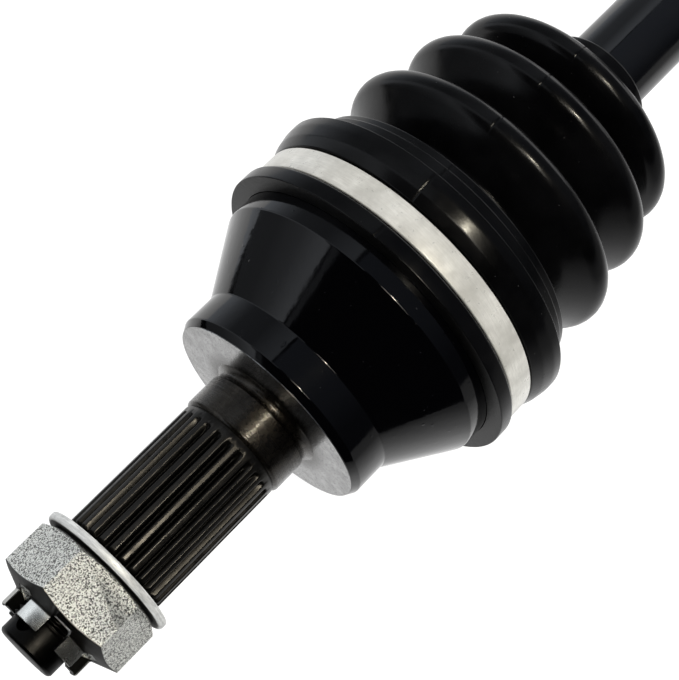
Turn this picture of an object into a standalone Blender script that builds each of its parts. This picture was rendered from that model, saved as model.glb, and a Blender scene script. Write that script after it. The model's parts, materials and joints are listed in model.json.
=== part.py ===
"""Front wheel drive axle: a fixed ball joint at the wheel end, a bar, a plunging joint at the gearbox end.

The axle lies along X. The origin is the centre of the wheel-end stub's flat end face, +X runs towards the
gearbox and +Z is up. Outlines are in millimetres, as (x, radius) or (x, radius, corner radius), and become
metres where a mesh is made. Angles around the axle are in degrees from +Y towards +Z.
"""

import math

import bmesh
import bpy

MM = 0.001
GAP = 0.3  # between touching pieces
SEGMENTS = 24  # around large turned pieces
SMALL_SEGMENTS = 20  # around small turned pieces
BALLS = 6

# Wheel-end stub, nut and washer
NOSE_R = 7.9
THREAD_R = 8.7
THREAD_END = 26.9
COTTER_HOLE_X = 4.8
COTTER_HOLE_R = 2.2
COTTER_HOLE_ANGLE = 69.0
NUT_START = 2.9
NUT_END = 25.0
NUT_BORE_R = THREAD_R + GAP
CROWN_R = 12.0
CROWN_SLOT_WIDTH = 6.0
CROWN_SLOT_BOTTOM = 9.9
CROWN_ROOT_X = 9.3
NUT_CONE_END = 11.9
NUT_ACROSS_FLATS = 32.0
NUT_FLAT_ANGLE = 114.0
WASHER_START = NUT_END + GAP
WASHER_THICKNESS = 2.15
WASHER_R = 18.5
SPLINE_TEETH = 26
SPLINE_START = 27.8
SPLINE_END = 66.5
SPLINE_R = 14.35
SPLINE_DEPTH = 1.1
COLLAR_START = 67.9
COLLAR_R = 14.9
SHOULDER_FACE_X = 80.1
SHOULDER_R = 29.2

# Fixed joint at the wheel end
FIXED_X = 118.8  # joint centre
BELL_R = 40.5
BELL_RIM = FIXED_X + 15.0
FIXED_BALL_R = 7.9
FIXED_PITCH = 28.0
FIXED_CAGE_OUTER = 31.5
FIXED_CAGE_INNER = 26.3
FIXED_CAGE_HALF = 12.0
FIXED_RACE_R = 25.5
FIXED_RACE_HALF = 10.0
FIXED_SIDE_PLAY = 1.7  # room beside each ball in its track, taken up as the joint bends both ways
TRACK_FLOOR_GAP = 0.7
INBOARD_SHIFT = 340.0  # from one joint centre to the other

# Bar
BAR_R = 12.0
BAR_SPLINE_R = 11.0
CIRCLIP_GROOVE_R = 9.3
CIRCLIP_WIDTH = 1.4

# Plunging joint at the gearbox end
PLUNGE_X = FIXED_X + INBOARD_SHIFT
CUP_R = 37.0
CUP_MOUTH = PLUNGE_X - 31.5
CUP_BORE_R = 30.0
CUP_BORE_END = PLUNGE_X + 27.5
PLUNGE_BALL_R = 7.5
PLUNGE_PITCH = 25.5
PLUNGE_CAGE_OUTER = 29.5
PLUNGE_CAGE_INNER = 24.1
PLUNGE_CAGE_HALF = 11.0
PLUNGE_RACE_R = 23.4
PLUNGE_RACE_HALF = 9.0
PLUNGE_SIDE_PLAY = 1.4
RING_X = PLUNGE_X - 28.7
RING_OUTER = 31.4
GEARBOX_SHOULDER_X = PLUNGE_X + 46.0
GEARBOX_SPLINE_START = PLUNGE_X + 62.0
GEARBOX_END = PLUNGE_X + 100.0
GEARBOX_JOURNAL_R = 14.0
GEARBOX_SPLINE_R = 13.0
GEARBOX_CLIP_X = GEARBOX_END - 6.0

# Boots and clamps
BOOT_WALL = 2.0  # under the large clamp
BOOT_NECK_R = 14.5  # under the small clamp
BOOT_NECK_LIP = 3.8
BOOT_NECK_LIP_R = 15.6
CLAMP_THICKNESS = 1.0
CLAMP_WIDTH = 7.2
CLAMP_EAR_ANGLE = -25.5
FIXED_CLAMP_X = 120.5
PLUNGE_CLAMP_X = PLUNGE_X - 24.2
SMALL_CLAMP_WIDTH = 5.0
FIXED_SMALL_CLAMP_X = 200.3
PLUNGE_SMALL_CLAMP_X = PLUNGE_X - 99.6


def material(name, colour, metallic, roughness):
    made = bpy.data.materials.new(name)
    made.use_nodes = True
    shader = made.node_tree.nodes["Principled BSDF"]
    shader.inputs["Base Color"].default_value = (*colour, 1.0)
    shader.inputs["Metallic"].default_value = metallic
    shader.inputs["Roughness"].default_value = roughness
    return made


def rounded(corners, steps=2):
    """The (x, radius) outline through the corners, each corner with a third value rounded to that radius."""
    outline = []
    for i, corner in enumerate(corners):
        if len(corner) == 2:
            outline.append(corner)
            continue
        x, r, fillet = corner
        before = corners[i - 1]
        after = corners[i + 1]
        towards = [math.atan2(p[1] - r, p[0] - x) for p in (before, after)]
        turn = (towards[1] - towards[0] + math.pi) % (2 * math.pi) - math.pi
        half = abs(turn) / 2
        reach = fillet / math.tan(half)
        middle = towards[0] + turn / 2
        away = fillet / math.sin(half)
        centre = (x + away * math.cos(middle), r + away * math.sin(middle))
        ends = [(x + reach * math.cos(a), r + reach * math.sin(a)) for a in towards]
        first = math.atan2(ends[0][1] - centre[1], ends[0][0] - centre[0])
        last = math.atan2(ends[1][1] - centre[1], ends[1][0] - centre[0])
        sweep = (last - first + math.pi) % (2 * math.pi) - math.pi
        for step in range(steps + 1):
            angle = first + sweep * step / steps
            outline.append((centre[0] + fillet * math.cos(angle), centre[1] + fillet * math.sin(angle)))
    return outline


def arc(centre_x, radius, start, stop, steps):
    """Points of a circle centred on the axle; angles from square to the axle towards +X."""
    angles = [math.radians(start + (stop - start) * i / steps) for i in range(steps + 1)]
    return [(centre_x + radius * math.sin(a), radius * math.cos(a)) for a in angles]


def new_object(name, mesh, finish=None):
    made = bpy.data.objects.new(name, mesh)
    bpy.context.scene.collection.objects.link(made)
    if finish:
        mesh.materials.append(finish)
        mesh.shade_smooth()
        mesh.set_sharp_from_angle(angle=math.radians(35))
    return made


def mesh_of(name, shape):
    bmesh.ops.remove_doubles(shape, verts=shape.verts, dist=1e-7)
    bmesh.ops.recalc_face_normals(shape, faces=shape.faces)
    mesh = bpy.data.meshes.new(name)
    shape.to_mesh(mesh)
    shape.free()
    return mesh


def lathe(name, outline, finish=None, segments=SEGMENTS):
    """Spins an outline about the axle. One that starts and ends on the axle is solid; any other is a ring."""
    shape = bmesh.new()
    points = [shape.verts.new((x * MM, 0.0, r * MM)) for x, r in outline]
    on_axle = outline[0][1] == 0.0 and outline[-1][1] == 0.0
    pairs = list(zip(points, points[1:]))
    if not on_axle:
        pairs.append((points[-1], points[0]))
    edges = [shape.edges.new(pair) for pair in pairs]
    bmesh.ops.spin(
        shape,
        geom=points + edges,
        cent=(0.0, 0.0, 0.0),
        axis=(1.0, 0.0, 0.0),
        angle=math.tau,
        steps=segments,
        use_merge=True,
    )
    return new_object(name, mesh_of(name, shape), finish)


def loft(shape, rings, closed=False):
    """Joins rings of equally many (x, y, z) points with quads, and caps the two ends."""
    made = [[shape.verts.new([c * MM for c in point]) for point in ring] for ring in rings]
    if closed:
        made.append(made[0])
    count = len(rings[0])
    for ring, following in zip(made, made[1:]):
        for i in range(count):
            j = (i + 1) % count
            shape.faces.new((ring[i], ring[j], following[j], following[i]))
    if not closed:
        shape.faces.new(made[0])
        shape.faces.new(made[-1])


def around(x, out, side, angle):
    """The point at x, out from the axle in the direction of an angle, and moved sideways from there."""
    a = math.radians(angle)
    return (x, out * math.cos(a) - side * math.sin(a), out * math.sin(a) + side * math.cos(a))


def spline_body(name, start, stop, tip_r, finish=None):
    """A toothed shaft whose teeth rise over the first millimetre and run out over the last three."""
    way = 1.0 if stop > start else -1.0
    root_r = tip_r - SPLINE_DEPTH
    stations = [(start, root_r - 0.3, root_r - 0.6), (start + way, tip_r, root_r)]
    stations += [(stop - 3.0 * way, tip_r, root_r), (stop, root_r + 0.1, root_r)]
    stations += [(stop + 1.2 * way, root_r + 0.1, root_r)]
    pitch = 360.0 / SPLINE_TEETH
    shape = bmesh.new()
    rings = []
    for x, tip, root in stations:
        ring = []
        for tooth in range(SPLINE_TEETH):
            for share, radius in ((0.0, root), (0.18, root), (0.34, tip), (0.84, tip)):
                ring.append(around(x, radius, 0.0, pitch * (tooth + share)))
        rings.append(ring)
    loft(shape, rings)
    return new_object(name, mesh_of(name, shape), finish)


def boolean(target, operation, tool):
    modifier = target.modifiers.new(tool.name, "BOOLEAN")
    modifier.operation = operation
    modifier.object = tool
    tool.hide_render = True
    tool.display_type = "WIRE"


def curved_tracks(name, centre_x, pitch, out_half, side_half, start, stop, rings=8, sides=12):
    """Six ball tracks that follow circles about the joint centre, each an ellipse in section."""
    shape = bmesh.new()
    for ball in range(BALLS):
        track = []
        for i in range(rings + 1):
            swing = math.radians(start + (stop - start) * i / rings)
            ring = []
            for k in range(sides):
                t = math.tau * k / sides
                reach = pitch + out_half * math.cos(t)
                x = centre_x + reach * math.sin(swing)
                ring.append(around(x, reach * math.cos(swing), side_half * math.sin(t), 360.0 / BALLS * ball))
            track.append(ring)
        loft(shape, track)
    return new_object(name, mesh_of(name, shape))


def straight_tracks(name, start, stop, pitch, radius, sides=12):
    shape = bmesh.new()
    for ball in range(BALLS):
        ends = []
        for x in (start, stop):
            turns = [math.tau * k / sides for k in range(sides)]
            angle = 360.0 / BALLS * ball
            ends.append([around(x, pitch + radius * math.cos(t), radius * math.sin(t), angle) for t in turns])
        loft(shape, ends)
    return new_object(name, mesh_of(name, shape))


def windows(name, centre_x, half_length, half_width, inner, outer):
    """Six openings through a cage, one for each ball, with rounded corners."""
    corner = 3.0
    outline = []
    for sx, sy, turn in ((1, 1, 0), (-1, 1, 90), (-1, -1, 180), (1, -1, 270)):
        for part in range(3):
            a = math.radians(turn + 45 * part)
            x = sx * (half_length - corner) + corner * math.cos(a)
            outline.append((x, sy * (half_width - corner) + corner * math.sin(a)))
    shape = bmesh.new()
    for ball in range(BALLS):
        angle = 360.0 / BALLS * ball
        rings = [[around(centre_x + x, out, side, angle) for x, side in outline] for out in (inner, outer)]
        loft(shape, rings)
    return new_object(name, mesh_of(name, shape))


def open_ring(name, x, width, inner, outer, opening, middle, finish, steps=18):
    """A flat ring that is open over some degrees around the angle called middle."""
    shape = bmesh.new()
    rings = []
    for i in range(steps + 1):
        angle = middle + opening / 2 + (360.0 - opening) * i / steps
        section = ((x, inner), (x + width, inner), (x + width, outer), (x, outer))
        rings.append([around(px, out, 0.0, angle) for px, out in section])
    loft(shape, rings)
    return new_object(name, mesh_of(name, shape), finish)


def wheel_stub_and_bell(finish):
    outline = [(0.0, 0.0), (0.0, NOSE_R - 1.0), (1.0, NOSE_R), (7.0, NOSE_R), (7.8, THREAD_R)]
    outline += [(THREAD_END, THREAD_R), (THREAD_END + 0.4, 8.0), (SPLINE_START + 1.0, 8.0)]
    core_r = SPLINE_R - SPLINE_DEPTH - 0.6
    outline += [(SPLINE_START + 1.0, core_r), (COLLAR_START - 0.7, core_r), (COLLAR_START, COLLAR_R)]
    outline += [(COLLAR_START + 9.5, COLLAR_R), (SHOULDER_FACE_X - 1.0, 16.0), (SHOULDER_FACE_X, 18.5)]
    outline += [(SHOULDER_FACE_X, 28.0), (SHOULDER_FACE_X + 1.9, SHOULDER_R)]
    outline += [(90.6, SHOULDER_R), (91.6, 30.3)]
    outline += rounded([(91.6, 30.3), (109.3, BELL_R, 4.0), (BELL_RIM - 0.6, BELL_R)])[1:]
    outline += [(BELL_RIM, BELL_R - 0.6), (BELL_RIM, 0.0)]
    housing = lathe("outboard_housing", outline, finish)
    teeth = spline_body("outboard_spline_teeth", SPLINE_START, SPLINE_END, SPLINE_R)
    boolean(housing, "UNION", teeth)
    cavity_r = FIXED_CAGE_OUTER + 0.7
    cavity = arc(FIXED_X, cavity_r, -90.0, 19.0, 10)
    cavity[0] = (FIXED_X - cavity_r, 0.0)
    cavity += [(BELL_RIM + 1.0, 32.0), (BELL_RIM + 4.0, 32.0), (BELL_RIM + 4.0, 0.0)]
    boolean(housing, "DIFFERENCE", lathe("bell_cavity", cavity))
    out_half = FIXED_BALL_R + TRACK_FLOOR_GAP
    side_half = FIXED_BALL_R + FIXED_SIDE_PLAY
    tracks = curved_tracks("bell_tracks", FIXED_X, FIXED_PITCH, out_half, side_half, -40.0, 45.0)
    boolean(housing, "DIFFERENCE", tracks)
    hole = bmesh.new()
    ends = []
    for out in (-2 * NOSE_R, 2 * NOSE_R):
        turns = [math.tau * k / 12 for k in range(12)]
        ring = []
        for t in turns:
            x = COTTER_HOLE_X + COTTER_HOLE_R * math.cos(t)
            ring.append(around(x, out, COTTER_HOLE_R * math.sin(t), COTTER_HOLE_ANGLE))
        ends.append(ring)
    loft(hole, ends)
    boolean(housing, "DIFFERENCE", new_object("cotter_hole", mesh_of("cotter_hole", hole)))


def castle_nut(finish):
    corner_r = NUT_ACROSS_FLATS / 2 / math.cos(math.radians(30))
    chamfer = 1.7
    face_r = 15.6
    outline = [(NUT_START, NUT_BORE_R), (NUT_START, CROWN_R - 0.5), (NUT_START + 0.5, CROWN_R)]
    outline += [(CROWN_ROOT_X, CROWN_R), (NUT_CONE_END, corner_r + 0.3)]
    outline += [(NUT_END - 0.7 - chamfer, corner_r + 0.3), (NUT_END - 0.7, face_r), (NUT_END, face_r)]
    outline += [(NUT_END, NUT_BORE_R)]
    nut = lathe("castle_nut", outline, finish, 36)
    hexagon = bmesh.new()
    corners = [NUT_FLAT_ANGLE + 30.0 + 60.0 * k for k in range(6)]
    loft(hexagon, [[around(x, corner_r, 0.0, a) for a in corners] for x in (NUT_START - 1.0, NUT_END + 1.0)])
    boolean(nut, "INTERSECT", new_object("nut_hexagon", mesh_of("nut_hexagon", hexagon)))
    slots = bmesh.new()
    half = CROWN_SLOT_WIDTH / 2
    for k in range(6):
        angle = NUT_FLAT_ANGLE + 60.0 * k
        open_end = NUT_START - 1.0
        section = ((open_end, -half), (CROWN_SLOT_BOTTOM, -half), (CROWN_SLOT_BOTTOM, half), (open_end, half))
        loft(slots, [[around(x, out, side, angle) for x, side in section] for out in (7.0, 14.0)])
    boolean(nut, "DIFFERENCE", new_object("nut_slots", mesh_of("nut_slots", slots)))


def flat_washer(finish):
    end = WASHER_START + WASHER_THICKNESS
    outline = [(WASHER_START, 9.4), (WASHER_START, WASHER_R - 0.3), (WASHER_START + 0.3, WASHER_R)]
    outline += [(end - 0.3, WASHER_R), (end, WASHER_R - 0.3), (end, 9.4)]
    lathe("flat_washer", outline, finish)


def joint_balls(prefix, centre_x, pitch, radius, finish):
    """Balls sit every 60 degrees from +Y in the plane through the joint centre."""
    shape = bmesh.new()
    bmesh.ops.create_uvsphere(shape, u_segments=12, v_segments=6, radius=radius * MM)
    mesh = mesh_of(prefix, shape)
    mesh.materials.append(finish)
    mesh.shade_smooth()
    for ball in range(BALLS):
        made = new_object(f"{prefix}_{ball + 1}", mesh)
        made.location = [c * MM for c in around(centre_x, pitch, 0.0, 360.0 / BALLS * ball)]


def joint_cage(name, centre_x, outer, inner, half, ball_r, finish):
    outer_tilt = math.degrees(math.asin(half / outer))
    inner_tilt = math.degrees(math.asin(half / inner))
    outline = arc(centre_x, outer, -outer_tilt, outer_tilt, 4)
    outline += arc(centre_x, inner, inner_tilt, -inner_tilt, 4)
    cage = lathe(name, outline, finish)
    slots = windows(name + "_windows", centre_x, ball_r + GAP, ball_r + 1.0, inner - 5.0, outer + 5.0)
    boolean(cage, "DIFFERENCE", slots)


def inner_race(name, centre_x, radius, half, pitch, ball_r, side_play, finish):
    tilt = math.degrees(math.asin(half / radius))
    bore = BAR_SPLINE_R + GAP
    outline = arc(centre_x, radius, -tilt, tilt, 4) + [(centre_x + half, bore), (centre_x - half, bore)]
    race = lathe(name, outline, finish)
    out_half = ball_r + TRACK_FLOOR_GAP
    tracks = curved_tracks(name + "_tracks", centre_x, pitch, out_half, ball_r + side_play, -41.0, 41.0)
    boolean(race, "DIFFERENCE", tracks)


def axle_bar(finish):
    """Each end carries a race up against a step, held by a circlip in a groove."""
    start_step = FIXED_X + FIXED_RACE_HALF + GAP
    end_step = PLUNGE_X - PLUNGE_RACE_HALF - GAP
    groove = CIRCLIP_WIDTH + 2 * GAP
    start_groove = FIXED_X - FIXED_RACE_HALF - groove
    end_groove = PLUNGE_X + PLUNGE_RACE_HALF
    outline = [(start_groove - 1.8, 0.0), (start_groove - 1.8, BAR_SPLINE_R - 0.8)]
    outline += [(start_groove - 1.0, BAR_SPLINE_R), (start_groove, BAR_SPLINE_R)]
    outline += [(start_groove, CIRCLIP_GROOVE_R), (start_groove + groove, CIRCLIP_GROOVE_R)]
    outline += [(start_groove + groove, BAR_SPLINE_R), (start_step, BAR_SPLINE_R), (start_step, BAR_R)]
    outline += [(end_step, BAR_R), (end_step, BAR_SPLINE_R), (end_groove, BAR_SPLINE_R)]
    outline += [(end_groove, CIRCLIP_GROOVE_R), (end_groove + groove, CIRCLIP_GROOVE_R)]
    outline += [(end_groove + groove, BAR_SPLINE_R), (end_groove + groove + 1.0, BAR_SPLINE_R)]
    outline += [(end_groove + groove + 1.8, BAR_SPLINE_R - 0.8), (end_groove + groove + 1.8, 0.0)]
    lathe("axle_bar", outline, finish, SMALL_SEGMENTS)


def race_circlip(name, x, finish):
    open_ring(name, x, CIRCLIP_WIDTH, CIRCLIP_GROOVE_R + GAP, BAR_SPLINE_R + 1.4, 40.0, 90.0, finish)


def gearbox_cup_and_stub(finish):
    core_r = GEARBOX_SPLINE_R - SPLINE_DEPTH - 0.6
    outline = [(CUP_MOUTH, 0.0), (CUP_MOUTH, CUP_R - 0.6)]
    outline += rounded([(CUP_MOUTH + 0.6, CUP_R), (PLUNGE_X + 32.0, CUP_R, 4.0), (PLUNGE_X + 39.0, 24.0)])
    outline += [(GEARBOX_SHOULDER_X - 5.0, 19.5), (GEARBOX_SHOULDER_X, 19.5)]
    outline += [(GEARBOX_SHOULDER_X, GEARBOX_JOURNAL_R), (GEARBOX_SPLINE_START - 2.0, GEARBOX_JOURNAL_R)]
    outline += [(GEARBOX_SPLINE_START, core_r), (GEARBOX_END - 1.0, core_r), (GEARBOX_END - 1.0, 0.0)]
    housing = lathe("inboard_housing", outline, finish)
    teeth = spline_body("inboard_spline_teeth", GEARBOX_END, GEARBOX_SPLINE_START + 1.0, GEARBOX_SPLINE_R)
    boolean(housing, "UNION", teeth)
    cavity = [(CUP_MOUTH - 2.0, 0.0), (CUP_MOUTH - 2.0, CUP_BORE_R), (RING_X - GAP, CUP_BORE_R)]
    cavity += [(RING_X - GAP, RING_OUTER + GAP), (RING_X + CIRCLIP_WIDTH + GAP, RING_OUTER + GAP)]
    cavity += [(RING_X + CIRCLIP_WIDTH + GAP, CUP_BORE_R), (CUP_BORE_END, CUP_BORE_R)]
    cavity += [(CUP_BORE_END + 4.0, 22.0), (CUP_BORE_END + 4.0, 0.0)]
    boolean(housing, "DIFFERENCE", lathe("cup_cavity", cavity))
    track_r = PLUNGE_BALL_R + TRACK_FLOOR_GAP
    tracks = straight_tracks("cup_tracks", CUP_MOUTH - 2.0, PLUNGE_X + 24.0, PLUNGE_PITCH, track_r)
    boolean(housing, "DIFFERENCE", tracks)
    clip_end = GEARBOX_CLIP_X + CIRCLIP_WIDTH + GAP
    groove = [(GEARBOX_CLIP_X - GAP, core_r - 0.5), (clip_end, core_r - 0.5)]
    groove += [(clip_end, GEARBOX_SPLINE_R + 2.0), (GEARBOX_CLIP_X - GAP, GEARBOX_SPLINE_R + 2.0)]
    boolean(housing, "DIFFERENCE", lathe("stub_clip_groove", groove))
    open_ring(
        "stub_circlip",
        GEARBOX_CLIP_X,
        CIRCLIP_WIDTH,
        core_r - 0.2,
        GEARBOX_SPLINE_R + 0.4,
        30.0,
        90.0,
        finish,
    )


def retaining_ring(finish):
    inner = RING_OUTER - 2.8
    open_ring("inboard_retaining_ring", RING_X, CIRCLIP_WIDTH, inner, RING_OUTER, 24.0, 90.0, finish, 24)


def folds(extremes, inset=0.0, steps=2):
    """An outline that waves through (x, radius, arc radius, side): side is 1 on a ridge, -1 in a valley.

    Straight walls run tangent from arc to arc. An inset moves the whole outline inwards by a wall's thickness.
    """
    circles = []
    for x, r, bend, side in extremes:
        bend = max(bend - side * inset, 0.2)
        circles.append((x, r - inset - side * bend, bend, side))
    normals = []
    for (x0, r0, bend0, side0), (x1, r1, bend1, side1) in zip(circles, circles[1:]):
        reach = math.hypot(x1 - x0, r1 - r0)
        lean = math.acos(side0 * (bend0 + bend1) / reach)
        normals.append(math.atan2(r1 - r0, x1 - x0) + lean)
    normals = [math.pi / 2, *normals, math.pi / 2]
    outline = []
    for (x, r, bend, side), first, last in zip(circles, normals, normals[1:]):
        for step in range(steps + 1):
            angle = first + (last - first) * step / steps
            outline.append((x + side * bend * math.cos(angle), r + side * bend * math.sin(angle)))
    return outline


def boot(name, finish, origin, way, seat_r, lip, seat_end, bulge, extremes, neck_end):
    """A pleated cover. Stations run from its wide end at the lip, the given way along X from the origin."""
    wall = 2.2
    lip_start, lip_end, lip_r = lip
    bulge_end, bulge_r = bulge
    seat_outer = seat_r + BOOT_WALL
    outer = [(lip_start, seat_r), (lip_start, lip_r - 0.6), (lip_start + 0.6, lip_r), (lip_end, lip_r)]
    outer += [(lip_end + 0.3, seat_outer), (seat_end, seat_outer), (seat_end + 1.2, bulge_r - 1.0)]
    outer += [(seat_end + 2.6, bulge_r), (bulge_end - 0.6, bulge_r), (bulge_end, bulge_r - 1.0)]
    outer += folds(extremes)
    inner = [(bulge_end - 1.0, seat_r)] + folds(extremes, wall)
    bore = BAR_R + GAP
    neck_lip = neck_end - BOOT_NECK_LIP
    outer += [(neck_lip - 0.2, BOOT_NECK_R), (neck_lip, BOOT_NECK_LIP_R), (neck_end, BOOT_NECK_LIP_R)]
    outline = outer + [(neck_end, bore)] + inner[::-1]
    lathe(name, [(origin + way * s, r) for s, r in outline], finish)


def wheel_end_boot(finish):
    extremes = [(143.0, 41.3, 0.8, 1), (147.9, 31.5, 2.0, -1), (159.1, 41.9, 4.3, 1), (166.6, 29.5, 2.2, -1)]
    extremes += [(177.7, 38.6, 4.2, 1), (185.0, 26.5, 1.9, -1), (192.4, 34.3, 4.0, 1)]
    extremes += [(199.0, BOOT_NECK_R, 1.2, -1)]
    lip = (115.3, 119.8, 45.2)
    bulge = (137.2, 45.9)
    boot("outboard_boot", finish, 0.0, 1.0, BELL_R + GAP, lip, 128.1, bulge, extremes, 209.6)


def gearbox_end_boot(finish):
    extremes = [(38.2, 38.0, 1.0, 1), (45.0, 30.5, 2.4, -1), (53.0, 38.0, 3.6, 1), (61.0, 27.0, 2.4, -1)]
    extremes += [(69.0, 34.5, 3.6, 1), (76.5, 23.5, 2.2, -1), (83.5, 30.0, 3.6, 1)]
    extremes += [(92.0, BOOT_NECK_R, 1.6, -1)]
    lip = (12.5, 16.6, 41.2)
    bulge = (35.0, 41.6)
    boot("inboard_boot", finish, PLUNGE_X, -1.0, CUP_R + GAP, lip, 24.8, bulge, extremes, 104.0)


def band_clamp(name, x, width, inner, ear_size, finish):
    """A thin band with a crimped ear standing on it."""
    outer = inner + CLAMP_THICKNESS
    band = lathe(name, [(x, inner), (x, outer), (x + width, outer), (x + width, inner)], finish)
    length, height = ear_size
    shape = bmesh.new()
    near = x + 0.8
    far = x + width - 0.8
    section = ((near, -length / 2), (far, -length / 2), (far, length / 2), (near, length / 2))
    low = [around(px, outer - 0.5, side, CLAMP_EAR_ANGLE) for px, side in section]
    high = [around(px, outer + height, side * 0.7, CLAMP_EAR_ANGLE) for px, side in section]
    loft(shape, [low, high])
    boolean(band, "UNION", new_object(name + "_ear", mesh_of(name + "_ear", shape)))


def main():
    for item in list(bpy.data.objects):
        bpy.data.objects.remove(item, do_unlink=True)

    black_paint = material("black_paint", (0.016, 0.017, 0.020), 0.0, 0.18)
    zinc = material("zinc_plate", (0.62, 0.63, 0.62), 1.0, 0.42)
    rubber = material("boot_rubber", (0.022, 0.022, 0.024), 0.0, 0.45)
    stainless = material("clamp_stainless", (0.78, 0.76, 0.71), 1.0, 0.30)
    ground_steel = material("ground_steel", (0.60, 0.60, 0.62), 1.0, 0.18)
    hard_steel = material("hardened_steel", (0.35, 0.34, 0.33), 1.0, 0.35)
    spring_steel = material("spring_steel", (0.25, 0.25, 0.26), 1.0, 0.35)

    wheel_stub_and_bell(black_paint)
    castle_nut(zinc)
    flat_washer(zinc)
    joint_balls("outboard_ball", FIXED_X, FIXED_PITCH, FIXED_BALL_R, ground_steel)
    joint_cage(
        "outboard_cage",
        FIXED_X,
        FIXED_CAGE_OUTER,
        FIXED_CAGE_INNER,
        FIXED_CAGE_HALF,
        FIXED_BALL_R,
        hard_steel,
    )
    inner_race(
        "outboard_inner_race",
        FIXED_X,
        FIXED_RACE_R,
        FIXED_RACE_HALF,
        FIXED_PITCH,
        FIXED_BALL_R,
        FIXED_SIDE_PLAY,
        hard_steel,
    )
    race_circlip("outboard_race_circlip", FIXED_X - FIXED_RACE_HALF - GAP - CIRCLIP_WIDTH, spring_steel)
    wheel_end_boot(rubber)
    seat_outer = BELL_R + GAP + BOOT_WALL
    large_ear = (13.0, 1.8)
    band_clamp("outboard_boot_large_clamp", FIXED_CLAMP_X, CLAMP_WIDTH, seat_outer + GAP, large_ear, stainless)
    neck_outer = BOOT_NECK_R + GAP
    band_clamp(
        "outboard_boot_small_clamp", FIXED_SMALL_CLAMP_X, SMALL_CLAMP_WIDTH, neck_outer, (8.0, 2.2), stainless
    )

    axle_bar(black_paint)

    gearbox_cup_and_stub(black_paint)
    retaining_ring(spring_steel)
    joint_balls("inboard_ball", PLUNGE_X, PLUNGE_PITCH, PLUNGE_BALL_R, ground_steel)
    joint_cage(
        "inboard_cage",
        PLUNGE_X,
        PLUNGE_CAGE_OUTER,
        PLUNGE_CAGE_INNER,
        PLUNGE_CAGE_HALF,
        PLUNGE_BALL_R,
        hard_steel,
    )
    inner_race(
        "inboard_inner_race",
        PLUNGE_X,
        PLUNGE_RACE_R,
        PLUNGE_RACE_HALF,
        PLUNGE_PITCH,
        PLUNGE_BALL_R,
        PLUNGE_SIDE_PLAY,
        hard_steel,
    )
    race_circlip("inboard_race_circlip", PLUNGE_X + PLUNGE_RACE_HALF + GAP, spring_steel)
    gearbox_end_boot(rubber)
    seat_outer = CUP_R + GAP + BOOT_WALL
    large_ear = (13.0, 1.8)
    band_clamp("inboard_boot_large_clamp", PLUNGE_CLAMP_X, CLAMP_WIDTH, seat_outer + GAP, large_ear, stainless)
    band_clamp(
        "inboard_boot_small_clamp", PLUNGE_SMALL_CLAMP_X, SMALL_CLAMP_WIDTH, neck_outer, (8.0, 2.2), stainless
    )


main()
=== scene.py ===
"""The looks of the front wheel drive axle: turned metal, splines, threads, pleated rubber, studio light.

The axle lies along X with its wheel end at the origin. Outlines are in millimetres, as (x, radius) or
(x, radius, corner radius). Angles around the axle are in degrees from +Y towards +Z.
"""

import json
import math

import bmesh
import bpy
from mathutils import Matrix, Vector

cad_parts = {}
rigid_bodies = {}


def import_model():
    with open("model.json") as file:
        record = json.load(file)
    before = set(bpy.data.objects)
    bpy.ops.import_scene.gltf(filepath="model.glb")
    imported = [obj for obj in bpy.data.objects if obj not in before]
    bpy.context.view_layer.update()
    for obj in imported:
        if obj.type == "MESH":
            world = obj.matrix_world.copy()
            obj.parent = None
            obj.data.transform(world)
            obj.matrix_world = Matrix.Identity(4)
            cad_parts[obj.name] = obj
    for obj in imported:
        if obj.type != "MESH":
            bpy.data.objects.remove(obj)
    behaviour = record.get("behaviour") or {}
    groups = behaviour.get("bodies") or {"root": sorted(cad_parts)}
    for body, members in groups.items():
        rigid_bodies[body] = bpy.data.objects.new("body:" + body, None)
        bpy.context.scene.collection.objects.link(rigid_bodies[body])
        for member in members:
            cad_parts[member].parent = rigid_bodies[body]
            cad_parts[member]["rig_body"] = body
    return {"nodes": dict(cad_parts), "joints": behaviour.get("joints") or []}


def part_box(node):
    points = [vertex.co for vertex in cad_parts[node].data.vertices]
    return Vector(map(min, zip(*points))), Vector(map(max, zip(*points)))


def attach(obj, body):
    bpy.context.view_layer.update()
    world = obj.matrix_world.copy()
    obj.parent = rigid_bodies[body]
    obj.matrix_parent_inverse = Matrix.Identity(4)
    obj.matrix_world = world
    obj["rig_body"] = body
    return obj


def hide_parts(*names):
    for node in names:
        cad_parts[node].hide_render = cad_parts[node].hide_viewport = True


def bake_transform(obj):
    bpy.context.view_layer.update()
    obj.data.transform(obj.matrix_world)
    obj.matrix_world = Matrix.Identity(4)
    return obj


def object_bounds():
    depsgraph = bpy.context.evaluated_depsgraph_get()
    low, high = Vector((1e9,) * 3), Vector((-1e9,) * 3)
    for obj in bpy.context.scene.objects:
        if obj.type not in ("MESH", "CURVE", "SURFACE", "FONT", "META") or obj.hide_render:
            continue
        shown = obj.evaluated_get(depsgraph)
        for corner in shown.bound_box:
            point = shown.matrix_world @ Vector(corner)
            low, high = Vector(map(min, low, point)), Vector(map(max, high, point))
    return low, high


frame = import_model()
cad_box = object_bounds()

MM = 0.001
JOINT_AT = {joint["name"]: joint.get("pos_m", (0, 0, 0))[0] / MM for joint in frame["joints"]}
FIXED_X = JOINT_AT["outboard_bar_lift"]
PLUNGE_X = JOINT_AT["inboard_lift"]

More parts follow.
